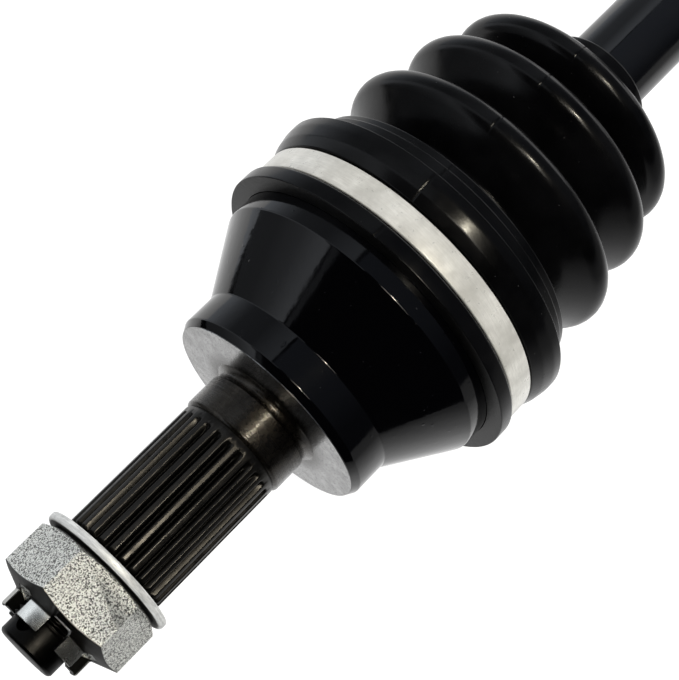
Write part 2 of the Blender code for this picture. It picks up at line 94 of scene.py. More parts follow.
# Turned sizes that several pieces share
NOSE_R = 7.9
THREAD_CREST = 8.85
THREAD_ROOT = 8.0
THREAD_PITCH = 1.5
THREAD_START = 7.4
THREAD_END = 26.9
NUT_START = 2.9
NUT_END = 25.0
CROWN_R = 12.0
CROWN_ROOT_X = 9.3
NUT_CONE_END = 11.9
ACROSS_FLATS = 32.0
FLAT_ANGLE = 114.0
TEETH = 26
SPLINE_TIP = 14.35
SPLINE_ROOT = 12.9
COLLAR_R = 14.9
SEAT_X = 80.1
SEAT_EDGE_R = 28.0
SHOULDER_R = 29.2
BELL_R = 40.5
BELL_RIM = FIXED_X + 15.0
BAR_R = 12.0
NECK_R = 14.5
NECK_LIP_R = 15.6
OUTBOARD_WALL = 1.6
INBOARD_WALL = 2.2
CUP_R = 37.0
FIT_GAP = 0.15
BAR_GAP = 0.05
CUP_MOUTH = PLUNGE_X - 31.5
PARTING_ANGLES = (93.6, 273.6)
EAR_ANGLE = -25.5
AROUND = 160
AROUND_FINE = 200

# Camera, aimed at a point on the axle
AIM_X = 106.8
CAMERA_AZIMUTH = -47.8
CAMERA_ELEVATION = 64.9
CAMERA_DISTANCE = 0.4072
CAMERA_LENS = 86.8
KEY_ANGLE = 114.0
KEY_DISTANCE = 1.3
CARD_RADIUS = 0.9


# ---------------------------------------------------------------- outlines and meshes


def ring_angles(count):
    return [360.0 * i / count for i in range(count)]


def tooth_angles(shares):
    """The angles of every tooth's stations, each a share of the tooth's pitch."""
    return [360.0 * (tooth + share) / TEETH for tooth in range(TEETH) for share in shares]


def eased(value, full):
    """A smooth step from 0 to 1 as the value goes from 0 to full."""
    share = min(max(value / full, 0.0), 1.0)
    return share * share * (3.0 - 2.0 * share)


def run_out(share):
    """The circular run of a cutter leaving the work, from 0 to 1."""
    share = min(max(share, 0.0), 1.0)
    return math.sqrt(1.0 - (1.0 - share) ** 2)


def rounded(corners, steps=4):
    """The outline through the corners, each corner with a third value rounded to that radius."""
    outline = []
    for i, corner in enumerate(corners):
        if len(corner) == 2:
            outline.append(corner)
            continue
        x, r, fillet = corner
        beside = (corners[i - 1], corners[(i + 1) % len(corners)])
        towards = [math.atan2(p[1] - r, p[0] - x) for p in beside]
        turn = (towards[1] - towards[0] + math.pi) % math.tau - math.pi
        half = abs(turn) / 2
        reach = fillet / math.tan(half)
        middle = towards[0] + turn / 2
        cx = x + fillet / math.sin(half) * math.cos(middle)
        cr = r + fillet / math.sin(half) * math.sin(middle)
        ends = [(x + reach * math.cos(a), r + reach * math.sin(a)) for a in towards]
        first, last = (math.atan2(e[1] - cr, e[0] - cx) for e in ends)
        sweep = (last - first + math.pi) % math.tau - math.pi
        for step in range(steps + 1):
            angle = first + sweep * step / steps
            outline.append((cx + fillet * math.cos(angle), cr + fillet * math.sin(angle)))
    return outline


def folds(extremes, inset=0.0, steps=10):
    """An outline that waves through (x, radius, arc radius, side): side is 1 on a ridge, -1 in a valley."""
    circles = []
    for x, r, bend, side in extremes:
        bend = max(bend - side * inset, 0.2)
        circles.append((x, r - inset - side * bend, bend, side))
    normals = []
    for (x0, r0, bend0, side0), (x1, r1, bend1, _) in zip(circles, circles[1:]):
        reach = math.hypot(x1 - x0, r1 - r0)
        normals.append(math.atan2(r1 - r0, x1 - x0) + math.acos(side0 * (bend0 + bend1) / reach))
    normals = [math.pi / 2, *normals, math.pi / 2]
    outline = []
    for (x, r, bend, side), first, last in zip(circles, normals, normals[1:]):
        for step in range(steps + 1):
            angle = first + (last - first) * step / steps
            outline.append((x + side * bend * math.cos(angle), r + side * bend * math.sin(angle)))
    return outline


def arc(centre_x, radius, start, stop, steps):
    angles = [math.radians(start + (stop - start) * i / steps) for i in range(steps + 1)]
    return [(centre_x + radius * math.sin(a), radius * math.cos(a)) for a in angles]


def around(x, out, side, angle):
    a = math.radians(angle)
    return (x, out * math.cos(a) - side * math.sin(a), out * math.sin(a) + side * math.cos(a))


def new_piece(name, shape, finish, sharp=38.0):
    bmesh.ops.remove_doubles(shape, verts=shape.verts, dist=1e-8)
    bmesh.ops.recalc_face_normals(shape, faces=shape.faces)
    mesh = bpy.data.meshes.new(name)
    shape.to_mesh(mesh)
    shape.free()
    if finish:
        mesh.materials.append(finish)
    mesh.shade_smooth()
    mesh.set_sharp_from_angle(angle=math.radians(sharp))
    piece = bpy.data.objects.new(name, mesh)
    bpy.context.scene.collection.objects.link(piece)
    return piece


def loft(shape, rings, closed=False, caps=True):
    """Joins rings of equally many points with quads. Open lofts get flat caps."""
    made = [[shape.verts.new([c * MM for c in point]) for point in ring] for ring in rings]
    if closed:
        made.append(made[0])
    count = len(rings[0])
    for ring, following in zip(made, made[1:]):
        for i in range(count):
            j = (i + 1) % count
            shape.faces.new((ring[i], ring[j], following[j], following[i]))
    if caps and not closed:
        shape.faces.new(made[0])
        shape.faces.new(made[-1])


def turned(name, outline, finish, angles=None, radius_at=None, sharp=38.0):
    """A turned piece: a ring, or a solid where its outline starts and ends on the axle's line.

    radius_at(x, r, angle) may change the radius, for teeth, threads and mould lines.
    """
    angles = angles or ring_angles(AROUND)
    solid = outline[0][1] == 0.0 and outline[-1][1] == 0.0
    if solid:
        outline = outline[1:-1]
    radius_at = radius_at or (lambda x, r, angle: r)
    shape = bmesh.new()
    rings = [[around(x, radius_at(x, r, a), 0.0, a) for a in angles] for x, r in outline]
    loft(shape, rings, closed=not solid)
    return new_piece(name, shape, finish, sharp)


def boolean(target, operation, tool, crossing=False):
    """Applies the cut or join at once and removes the tool. Crossing lets the target's own faces cross."""
    modifier = target.modifiers.new("cut", "BOOLEAN")
    modifier.operation = operation
    modifier.object = tool
    modifier.use_self = crossing
    bake(target)
    bpy.data.objects.remove(tool, do_unlink=True)


def bake(piece):
    """Replaces the piece's mesh by the one that its modifiers make."""
    graph = bpy.context.evaluated_depsgraph_get()
    mesh = bpy.data.meshes.new_from_object(piece.evaluated_get(graph))
    piece.modifiers.clear()
    piece.data = mesh


def soften(piece, width, segments=2, angle=35.0, sharp=38.0):
    """Breaks a machined piece's edges."""
    modifier = piece.modifiers.new("edges", "BEVEL")
    modifier.width = width * MM
    modifier.segments = segments
    modifier.limit_method = "ANGLE"
    modifier.angle_limit = math.radians(angle)
    modifier.use_clamp_overlap = True
    bake(piece)
    piece.data.shade_smooth()
    piece.data.set_sharp_from_angle(angle=math.radians(sharp))


def thread_radius(x, angle, start, stop, clearance=0.0):
    """A 60 degree helical thread with flat crests and roots, which fades in and out at its ends."""
    turn = (x / THREAD_PITCH - angle / 360.0) % 1.0
    height = min(max(2.6 * (0.5 - abs(turn - 0.5)) - 0.15, 0.0), 1.0)
    fade = min((x - start) / 1.0, (stop - x) / 1.0, 1.0)
    return THREAD_ROOT + (THREAD_CREST - THREAD_ROOT) * height * max(fade, 0.0) + clearance


def stations(start, stop, count):
    return [start + (stop - start) * i / count for i in range(count + 1)]


# ---------------------------------------------------------------- finishes


class Finish:
    """A material under construction: its shader's own sockets hold every number that is the same all over."""

    def __init__(self, name, colour, roughness, metallic=0.0, **sockets):
        self.material = bpy.data.materials.new(name)
        self.material.use_nodes = True
        self.nodes = self.material.node_tree.nodes
        self.links = self.material.node_tree.links
        self.shader = self.nodes["Principled BSDF"]
        self.shader.inputs["Base Color"].default_value = (*colour, 1.0)
        self.shader.inputs["Roughness"].default_value = roughness
        self.shader.inputs["Metallic"].default_value = metallic
        for socket, value in sockets.items():
            self.shader.inputs[socket.replace("_", " ")].default_value = value
        self.place = self.nodes.new("ShaderNodeTexCoord").outputs["Object"]
        self.bumps = None

    def node(self, kind, inputs=(), **settings):
        made = self.nodes.new(kind)
        for setting, value in settings.items():
            setattr(made, setting, value)
        for key, value in dict(inputs).items():
            if isinstance(value, bpy.types.NodeSocket):
                self.links.new(value, made.inputs[key])
            else:
                made.inputs[key].default_value = value
        return made

    def math(self, operation, a, b=0.0):
        return self.node("ShaderNodeMath", {0: a, 1: b}, operation=operation).outputs[0]

    def noise(self, size, detail=3.0, roughness=0.5, stretch=None):
        """Noise whose features are about size millimetres across; stretch squeezes them along each axis."""
        place = self.place
        if stretch:
            place = self.node("ShaderNodeMapping", {"Vector": place, "Scale": stretch}).outputs[0]
        inputs = {"Vector": place, "Scale": 1.0 / (size * MM), "Detail": detail, "Roughness": roughness}
        return self.node("ShaderNodeTexNoise", inputs).outputs["Fac"]

    def rings(self, along, per_metre):
        """Tool marks: noise along one distance only."""
        inputs = {"W": self.math("MULTIPLY", along, per_metre)}
        return self.node("ShaderNodeTexNoise", inputs, noise_dimensions="1D").outputs["Fac"]

    def spread(self, value, low, high, to_low=0.0, to_high=1.0):
        inputs = {"Value": value, "From Min": low, "From Max": high, "To Min": to_low, "To Max": to_high}
        return self.node("ShaderNodeMapRange", inputs).outputs[0]

    def mix(self, share, first, second):
        """A colour between two, each a colour or a socket."""
        colours = {}
        for key, value in ((6, first), (7, second)):
            colours[key] = value if isinstance(value, bpy.types.NodeSocket) else (*value, 1.0)
        return self.node("ShaderNodeMix", {0: share, **colours}, data_type="RGBA").outputs[2]

    def colour(self, socket):
        self.links.new(socket, self.shader.inputs["Base Color"])

    def roughness(self, socket):
        self.links.new(socket, self.shader.inputs["Roughness"])

    def metallic(self, socket):
        self.links.new(socket, self.shader.inputs["Metallic"])

    def bump(self, height, depth, strength=1.0):
        """Raises the surface by depth millimetres where height is 1, on top of any earlier bump."""
        inputs = {"Height": height, "Distance": depth * MM, "Strength": strength}
        if self.bumps:
            inputs["Normal"] = self.bumps
        self.bumps = self.node("ShaderNodeBump", inputs).outputs[0]
        self.links.new(self.bumps, self.shader.inputs["Normal"])

    def axis(self, name):
        return self.node("ShaderNodeSeparateXYZ", {0: self.place}).outputs[name]

    def radius(self):
        """Distance from the axle's centre line."""
        flat = self.node("ShaderNodeVectorMath", {0: self.place, 1: (0.0, 1.0, 1.0)}, operation="MULTIPLY")
        return self.node("ShaderNodeVectorMath", {0: flat.outputs[0]}, operation="LENGTH").outputs["Value"]


def gloss_paint():
    """Thick black paint over a forging: faint orange peel, a little dust and a few nibs in the coat."""
    f = Finish("gloss_black_paint", (0.0006, 0.0006, 0.0009), 0.09, 0.0, IOR=1.5, Specular_IOR_Level=0.33)
    dust = f.spread(f.noise(0.9, 2.0, 0.6), 0.745, 0.79)
    f.colour(f.mix(dust, (0.0006, 0.0006, 0.0009), (0.022, 0.022, 0.025)))
    f.roughness(f.spread(f.noise(14.0, 4.0), 0.3, 0.7, 0.06, 0.13))
    f.bump(f.noise(3.2, 2.0), 0.055, 0.5)
    f.bump(f.spread(f.noise(1.6, 1.0), 0.74, 0.80), 0.05, 0.6)
    return f.material


def bar_paint():
    """The bar's coat: a thinner, smoother gloss black."""
    f = Finish("bar_black_paint", (0.0010, 0.0010, 0.0014), 0.12, 0.0, IOR=1.5, Specular_IOR_Level=0.7)
    f.roughness(f.spread(f.noise(9.0, 4.0), 0.3, 0.7, 0.08, 0.2))
    f.bump(f.noise(2.4, 3.0), 0.035, 0.5)
    return f.material


def bare_seat():
    """The machined hub seat: pale steel with fine dark pits and turning marks, and painted shade in a dark
    ring near the shaft.
    """
    f = Finish("machined_hub_seat", (0.42, 0.42, 0.42), 0.15, 0.95)
    pits = f.spread(f.noise(0.55, 3.0, 0.65), 0.56, 0.64)
    cloud = f.spread(f.noise(4.0, 4.0), 0.35, 0.65)
    pale = f.mix(cloud, (0.20, 0.20, 0.198), (0.32, 0.32, 0.317))
    spotted = f.mix(pits, pale, (0.04, 0.04, 0.038))
    # painted shade: the seat is painted dark brown near the shaft, standing in for the shade beside the
    # collar
    ring = f.spread(f.radius(), 0.0165, 0.0205)
    f.colour(f.mix(ring, (0.022, 0.019, 0.016), spotted))
    f.roughness(f.spread(f.noise(1.2, 3.0), 0.3, 0.7, 0.09, 0.19))
    f.bump(f.noise(0.5, 3.0, 0.6), 0.045, 0.6)
    f.bump(f.rings(f.radius(), 4200.0), 0.012, 0.5)
    return f.material


def turned_steel():
    """The collar: dark brown heat-tinted steel with fine turning rings."""
    f = Finish("turned_collar_steel", (0.05, 0.043, 0.036), 0.3, 0.96, Coat_Weight=0.4, Coat_Roughness=0.16)
    tint = f.spread(f.noise(3.0, 4.0, 0.6, (0.35, 1.0, 1.0)), 0.3, 0.7)
    f.colour(f.mix(tint, (0.012, 0.010, 0.008), (0.052, 0.045, 0.036)))
    f.roughness(f.spread(f.noise(1.0, 3.0), 0.3, 0.7, 0.2, 0.38))
    f.bump(f.rings(f.axis("X"), 3200.0), 0.05, 0.8)
    f.bump(f.noise(0.8, 3.0), 0.03, 0.6)
    return f.material


def oxide_steel(name="black_oxide_steel", dark=0.002, light=0.045, root=0.0131, tip=0.0141):
    """Splines and thread: black oxide, rubbed paler in long streaks, with painted shade that darkens it from
    the tip's radius down to the root's.
    """
    f = Finish(name, (dark, dark, dark), 0.28, 0.95)
    streak = f.spread(f.noise(0.9, 3.0, 0.6, (0.03, 1.0, 1.0)), 0.3, 0.7, 0.55, 1.0)
    # painted shade darkens the roots; the paler streaks on the crests are wear
    wear_and_root_shade = f.math("MULTIPLY", f.spread(f.radius(), root, tip), streak)
    f.colour(f.mix(wear_and_root_shade, (dark, dark * 0.97, dark * 0.93), (light, light * 0.95, light * 0.88)))
    f.roughness(f.spread(f.noise(2.2, 4.0), 0.3, 0.7, 0.25, 0.40))
    f.bump(f.noise(0.8, 3.0, 0.6, (0.1, 1.0, 1.0)), 0.03, 0.6)
    return f.material


def zinc_plate():
    """Zinc on the nut: sandy on its flats with painted shade in the sand's hollows, smooth on its crown, and
    painted dark elsewhere as shade on its chamfers, in its slots and by the washer.
    """
    f = Finish("zinc_plate", (0.72, 0.72, 0.70), 0.36, 0.97)
    x, radius = f.axis("X"), f.radius()
    slope = f.math("SUBTRACT", x, f.math("MULTIPLY", radius, 0.3824))
    flats = f.spread(slope, 0.00478, 0.00500)
    crown = f.math("MULTIPLY", f.spread(x, 0.00900, 0.00870), f.spread(radius, 0.01165, 0.01185))
    # painted shade: all but the hex flats and the crown's outside is painted dark, for the shade on the front
    # cone, in the slots and between the nut and the washer
    unshaded = f.math("MAXIMUM", f.math("MULTIPLY", flats, f.spread(x, 0.0246, 0.0241)), crown)
    sand = f.noise(0.42, 3.0, 0.7)
    # painted shade in the sand's hollows: the flats are painted dark where the sand's bump is low
    hollow = f.math("MULTIPLY", f.spread(sand, 0.53, 0.42), flats)
    plate = f.mix(hollow, (0.96, 0.97, 0.93), (0.05, 0.05, 0.045))
    f.colour(f.mix(unshaded, (0.035, 0.034, 0.032), plate))
    smooth = f.spread(f.noise(2.0, 3.0), 0.3, 0.7, 0.36, 0.46)
    f.roughness(f.math("SUBTRACT", smooth, f.math("MULTIPLY", crown, 0.16)))
    f.metallic(f.spread(flats, 0.0, 1.0, 0.98, 0.70))
    f.bump(sand, 0.26, f.spread(flats, 0.0, 1.0, 0.02, 1.0))
    f.bump(f.noise(0.28, 2.0), 0.012, 0.5)
    return f.material


def washer_zinc():
    """The washer: zinc in faint streaks around its rim, with painted shade on its face inside the rim, under
    the nut.
    """
    f = Finish("washer_zinc", (0.62, 0.63, 0.62), 0.5, 0.45)
    cloud = f.spread(f.noise(2.2, 4.0, 0.65, (3.0, 0.5, 0.5)), 0.3, 0.7)
    plate = f.mix(cloud, (0.46, 0.47, 0.465), (0.93, 0.94, 0.93))
    # painted shade: the face inside the rim is painted dark, for the shade beneath the nut
    f.colour(f.mix(f.spread(f.radius(), 0.0174, 0.0181), (0.03, 0.03, 0.028), plate))
    f.roughness(f.spread(f.noise(1.0, 4.0), 0.3, 0.7, 0.42, 0.62))
    f.bump(f.noise(0.45, 3.0), 0.05, 0.8)
    return f.material


def boot_rubber():
    """Satin moulded rubber: bloom in soft clouds, dust specks, and a fine mould texture."""
    f = Finish("boot_rubber", (0.003, 0.003, 0.0033), 0.3, 0.0, IOR=1.5, Specular_IOR_Level=0.17)
    bloom = f.spread(f.noise(16.0, 4.0, 0.6), 0.35, 0.75)
    base = f.mix(bloom, (0.0008, 0.0008, 0.001), (0.003, 0.003, 0.0034))
    dust = f.spread(f.noise(0.8, 2.0, 0.55), 0.755, 0.80)
    f.colour(f.mix(dust, base, (0.07, 0.07, 0.07)))
    f.roughness(f.spread(f.noise(6.0, 4.0), 0.3, 0.7, 0.16, 0.28))
    f.bump(f.noise(0.6, 2.0), 0.012, 0.5)
    f.bump(f.noise(5.0, 3.0), 0.05, 0.4)
    return f.material


def lip_rubber():
    """The boot's cut end: rougher and greyer than its moulded skin."""
    f = Finish("boot_lip_rubber", (0.012, 0.012, 0.012), 0.46, 0.0, IOR=1.5, Specular_IOR_Level=0.3)
    scuffs = f.spread(f.noise(1.6, 4.0, 0.7), 0.42, 0.72)
    f.colour(f.mix(scuffs, (0.0004, 0.0004, 0.0005), (0.003, 0.003, 0.003)))
    f.bump(f.noise(0.9, 4.0, 0.65), 0.14, 0.9)
    return f.material


def clamp_band():
    """Bright rolled stainless strip with fine scratches along its length and a warm cast."""
    f = Finish("clamp_stainless", (0.84, 0.83, 0.79), 0.34, 0.3)
    streak = f.spread(f.noise(1.1, 5.0, 0.7, (3.0, 0.25, 0.25)), 0.3, 0.7)
    cloud = f.spread(f.noise(7.0, 4.0, 0.6), 0.3, 0.7)
    bright = f.mix(streak, (0.62, 0.615, 0.575), (0.90, 0.895, 0.85))
    f.colour(f.mix(cloud, (0.50, 0.495, 0.46), bright))
    f.roughness(f.spread(f.noise(2.0, 4.0), 0.3, 0.7, 0.26, 0.40))
    f.bump(f.noise(0.35, 3.0, 0.7, (4.0, 0.2, 0.2)), 0.008, 0.6)
    return f.material


def ground_steel():
    """Balls: polished bearing steel under a smear of grease."""
    f = Finish("ground_ball_steel", (0.62, 0.62, 0.63), 0.12, 1.0)
    f.roughness(f.spread(f.noise(4.0, 4.0), 0.3, 0.7, 0.07, 0.24))
    f.bump(f.noise(0.8, 3.0), 0.004, 0.5)
    return f.material


def hardened_steel(name, low, high):
    """Races, cages and clips: hardened, dark, mottled by heat treatment."""
    f = Finish(name, low, 0.34, 1.0)
    f.colour(f.mix(f.spread(f.noise(3.5, 5.0, 0.65), 0.3, 0.7), low, high))
    f.roughness(f.spread(f.noise(1.6, 4.0), 0.3, 0.7, 0.26, 0.46))
    f.bump(f.noise(0.5, 3.0), 0.01, 0.5)
    return f.material


# ---------------------------------------------------------------- wheel end


def stub_nose():
    """The threaded end with its cotter pin hole."""
    xs = [0.0, 0.0, 0.2, 0.7, 6.9, THREAD_START, *stations(THREAD_START, THREAD_END, 208)[1:], 27.6, 27.6]
    rs = [0.0, 7.1, 7.5, NOSE_R, NOSE_R, 8.0, *[THREAD_ROOT] * 208, 8.0, 0.0]

    def radius_at(x, r, angle):
        return thread_radius(x, angle, THREAD_START, THREAD_END) if THREAD_START < x < THREAD_END else r

    finish = oxide_steel("black_oxide_thread", 0.003, 0.008, 0.0070, 0.0080)
    nose = turned("stub_nose", list(zip(xs, rs)), finish, radius_at=radius_at, sharp=32.0)
    hole = bmesh.new()
    ring = [(math.cos(math.tau * i / 40), math.sin(math.tau * i / 40)) for i in range(40)]
    sizes = ((-12.0, 2.2), (-NOSE_R + 0.15, 2.2), (NOSE_R - 0.15, 2.2), (NOSE_R + 0.4, 2.75), (12.0, 2.75))
    loft(hole, [[around(4.8 + r * c, out, r * s, 69.0) for c, s in ring] for out, r in sizes])
    boolean(nose, "DIFFERENCE", new_piece("hole", hole, None))
    nose.data.shade_smooth()
    nose.data.set_sharp_from_angle(angle=math.radians(32.0))
    return nose


def stub_spline():
    """The hub spline: its teeth start at a chamfer and run out before a plain land."""
    angles = tooth_angles((0.0, 0.09, 0.17, 0.24, 0.33, 0.42, 0.5, 0.58, 0.67, 0.76, 0.83, 0.91))

    def radius_at(x, r, angle):
        turn = abs((angle * TEETH / 360.0) % 1.0 - 0.5) * 2.0
        depth = eased(0.60 - turn, 0.36) * run_out((65.6 - x) / 3.2)
        return min(r, SPLINE_TIP - (SPLINE_TIP - SPLINE_ROOT) * depth)

    outline = [(27.4, 0.0), (27.4, 12.6), (27.8, 13.0), (28.9, SPLINE_TIP - 0.05), (29.3, SPLINE_TIP)]
    outline += [(x, SPLINE_TIP) for x in stations(32.0, 62.0, 5)]
    outline += [(x, SPLINE_TIP) for x in stations(62.4, 65.6, 10)]
    outline += [(67.0, SPLINE_TIP), (67.5, SPLINE_TIP - 0.3), (68.3, SPLINE_TIP - 0.3), (68.3, 0.0)]
    return turned("stub_spline", outline, oxide_steel(), angles, radius_at, sharp=50.0)


def stub_collar():
    """The turned collar behind the spline, with fine rings left by the tool, and its undercut at the seat."""
    outline = [(67.6, 0.0), (67.6, 13.9), (67.9, 14.4), (68.4, COLLAR_R - 0.1)]
    for i, x in enumerate(stations(68.7, 76.9, 54)):
        outline.append((x, COLLAR_R - 0.045 * (i % 3 == 1) - 0.03 * (i % 7 == 3)))
    outline += [(77.3, COLLAR_R - 0.2), (77.6, 14.35), (77.9, 14.2), (78.7, 14.2), (79.3, 14.45)]
    outline += [(79.7, 15.0), (80.05, 15.9), (80.4, 16.2), (81.2, 16.2), (81.2, 0.0)]
    return turned("stub_collar", outline, turned_steel(), sharp=60.0)


def hub_seat():
    """The flat ring that the wheel hub is pulled against."""
    radii = stations(16.0, SEAT_EDGE_R, 24)
    outline = [(SEAT_X + 0.5, 15.6), (SEAT_X + 0.12, 15.8)]
    outline += [(SEAT_X + 0.012 * (i % 2), r) for i, r in enumerate(radii)]
    outline += [(SEAT_X + 0.6, 28.02), (SEAT_X + 0.9, 27.6), (SEAT_X + 0.9, 15.6)]
    return turned("hub_seat", outline, bare_seat(), sharp=30.0)


def bell():
    """The painted housing, hollowed for the cage and with six curved ball tracks."""
    outer = rounded([
        (81.0, 0.0), (80.75, 27.4), (SEAT_X + 0.1, 28.03, 0.2), (82.1, SHOULDER_R, 0.9),
        (91.0, SHOULDER_R, 0.9), (109.4, BELL_R, 1.1), (BELL_RIM - 0.4, BELL_R),
        (BELL_RIM, BELL_R - 0.4), (BELL_RIM, 29.5),
    ], 6)
    hollow = arc(FIXED_X, 32.2, 26.0, -90.0, 40)
    outline = outer + [(x, max(r, 0.0)) for x, r in hollow[:-1]] + [(hollow[-1][0], 0.0)]
    housing = turned("outboard_bell", outline, gloss_paint(), sharp=44.0)
    tracks = bmesh.new()
    for ball in range(6):
        path = arc(FIXED_X, 28.0, -34.0, 62.0, 20)
        lean = [math.radians(a) for a in stations(-34.0, 62.0, 20)]
        circle = [math.tau * i / 32 for i in range(32)]
        rings = []
        for (x, r), tilt in zip(path, lean):
            ring = []
            for c in circle:
                out, side = 8.6 * math.cos(c), 8.6 * math.sin(c)
                ring.append(around(x + out * math.sin(tilt), r + out * math.cos(tilt), side, 60.0 * ball))
            rings.append(ring)
        loft(tracks, rings)
    boolean(housing, "DIFFERENCE", new_piece("tracks", tracks, None))
    housing.data.shade_smooth()
    housing.data.set_sharp_from_angle(angle=math.radians(44.0))
    return housing


def hexagon(name, start, stop, flats):
    prism = bmesh.new()
    corner = flats / math.sqrt(3.0)
    ring = [around(0.0, corner, 0.0, FLAT_ANGLE + 30.0 + 60.0 * i) for i in range(6)]
    loft(prism, [[(x, y, z) for _, y, z in ring] for x in (start, stop)])
    return new_piece(name, prism, None)


def castle_nut():
    """A chamfered hexagon nut with a crown slotted for the cotter pin, threaded on the stub's own helix."""
    finish = zinc_plate()
    blank = [(NUT_START, 0.0)]
    blank += rounded([
        (NUT_START, CROWN_R, 0.5), (CROWN_ROOT_X, CROWN_R, 0.7), (NUT_CONE_END, 18.8), (23.3, 18.8),
        (24.4, 16.4), (NUT_END, 15.7), (NUT_END, 0.0),
    ], 4)
    nut = turned("castle_nut", blank, finish, ring_angles(180))
    boolean(nut, "INTERSECT", hexagon("flats", NUT_START - 1.0, NUT_END + 1.0, ACROSS_FLATS))
    slots = bmesh.new()
    half = 3.0
    for i in range(6):
        angle = FLAT_ANGLE + 60.0 * i
        profile = [(NUT_START - 1.0, -half), (9.3, -half), (9.9, -half + 0.6)]
        profile += [(x, -side) for x, side in reversed(profile)]
        loft(slots, [[around(x, out, side, angle) for x, side in profile] for out in (7.0, 14.5)])
    boolean(nut, "DIFFERENCE", new_piece("slots", slots, None))
    soften(nut, 0.45, 3, 28.0)
    bore_xs = [NUT_START - 1.0, NUT_START - 0.2, 3.9, *stations(3.9, 24.0, 200)[1:], 25.2, NUT_END + 1.0]
    bore_rs = [10.4, 9.9, THREAD_CREST, *[THREAD_ROOT] * 200, 9.9, 10.4]

    def radius_at(x, r, angle):
        return thread_radius(x, angle, 2.9, 25.0, 0.12) if 3.9 < x < 24.05 else r

    outline = [(bore_xs[0], 0.0), *zip(bore_xs, bore_rs), (bore_xs[-1], 0.0)]
    bore = turned("bore", outline, None, ring_angles(96), radius_at)
    boolean(nut, "DIFFERENCE", bore, crossing=True)
    nut.data.materials.clear()
    nut.data.materials.append(finish)
    nut.data.shade_smooth()
    nut.data.set_sharp_from_angle(angle=math.radians(34.0))
    return nut


def flat_washer():
    outline = rounded([(25.3, 9.45, 0.25), (25.3, 18.5, 0.75), (27.45, 18.5, 0.55), (27.45, 9.45, 0.25)], 5)
    return turned("flat_washer", outline, washer_zinc(), ring_angles(AROUND_FINE))


# ---------------------------------------------------------------- boots and their clamps


def mould_lines(angle):
    """How deep the mould's parting line is at this angle, in millimetres."""
    nearest = min(abs((angle - line + 180.0) % 360.0 - 180.0) for line in PARTING_ANGLES)
    return 0.13 if nearest < 0.2 else 0.0


def boot_angles():
    angles = set(ring_angles(AROUND))
    for line in PARTING_ANGLES:
        angles |= {line + step for step in (-0.75, -0.3, -0.12, 0.12, 0.3, 0.75)}
    return sorted(angles)


def boot_part(name, outside, inside, finish, lined, end_finish=None, end=None):
    """One length of a boot, closed by its cut ends. lined(x) says where the mould's parting line shows."""

    def radius_at(x, r, angle):
        return r - (mould_lines(angle) if (round(x, 4), round(r, 4)) in outer and lined(x) else 0.0)

    outer = {(round(x, 4), round(r, 4)) for x, r in outside}
    part = turned(name, list(outside) + list(reversed(inside)), finish, boot_angles(), radius_at, sharp=46.0)
    if end_finish:
        part.data.materials.append(end_finish)
        for face in part.data.polygons:
            if abs(face.center.x / MM - end) < 0.08 and abs(face.normal.x) > 0.8:
                face.material_index = 1
    return part


def clamp(name, start, width, inner, outer, ear, finish):
    """A closed band with rolled edges and a low pressed ear."""
    stop = start + width
    band = rounded([(start, inner, 0.1), (start, outer, 0.38), (stop, outer, 0.38), (stop, inner, 0.1)], 4)
    ring = turned(name, band, finish, ring_angles(AROUND_FINE))
    length, height = ear
    lug = bmesh.new()
    rings = []
    for share in stations(-1.0, 1.0, 24):
        rise = height * max(1.0 - abs(share) ** 4, 0.0) * (1.0 - 0.55 * math.exp(-((share / 0.28) ** 2)))
        angle = EAR_ANGLE + math.degrees(share * length / 2 / outer)
        low, high = inner + 0.15, outer - 0.05 + rise
        edge = 0.5
        near, far = start + edge, stop - edge
        section = [
            (near, low), (far, low), (far, high - edge * 0.6),
            (far - 0.5, high), (near + 0.5, high), (near, high - edge * 0.6),
        ]
        rings.append([around(x, r, 0.0, angle) for x, r in section])
    loft(lug, rings)
    boolean(ring, "UNION", new_piece("lug", lug, None))
    ring.data.materials.clear()
    ring.data.materials.append(finish)
    ring.data.shade_smooth()
    ring.data.set_sharp_from_angle(angle=math.radians(40.0))
    return ring


def lined_outside(x):
    """The parting line crosses the lip, the wide bulge, the step behind it and the tops of the ridges."""
    tops = ((117.0, 3.0), (136.4, 7.9), (160.4, 3.4), (179.0, 3.2), (193.6, 3.0))
    return any(abs(x - top) < reach for top, reach in tops)


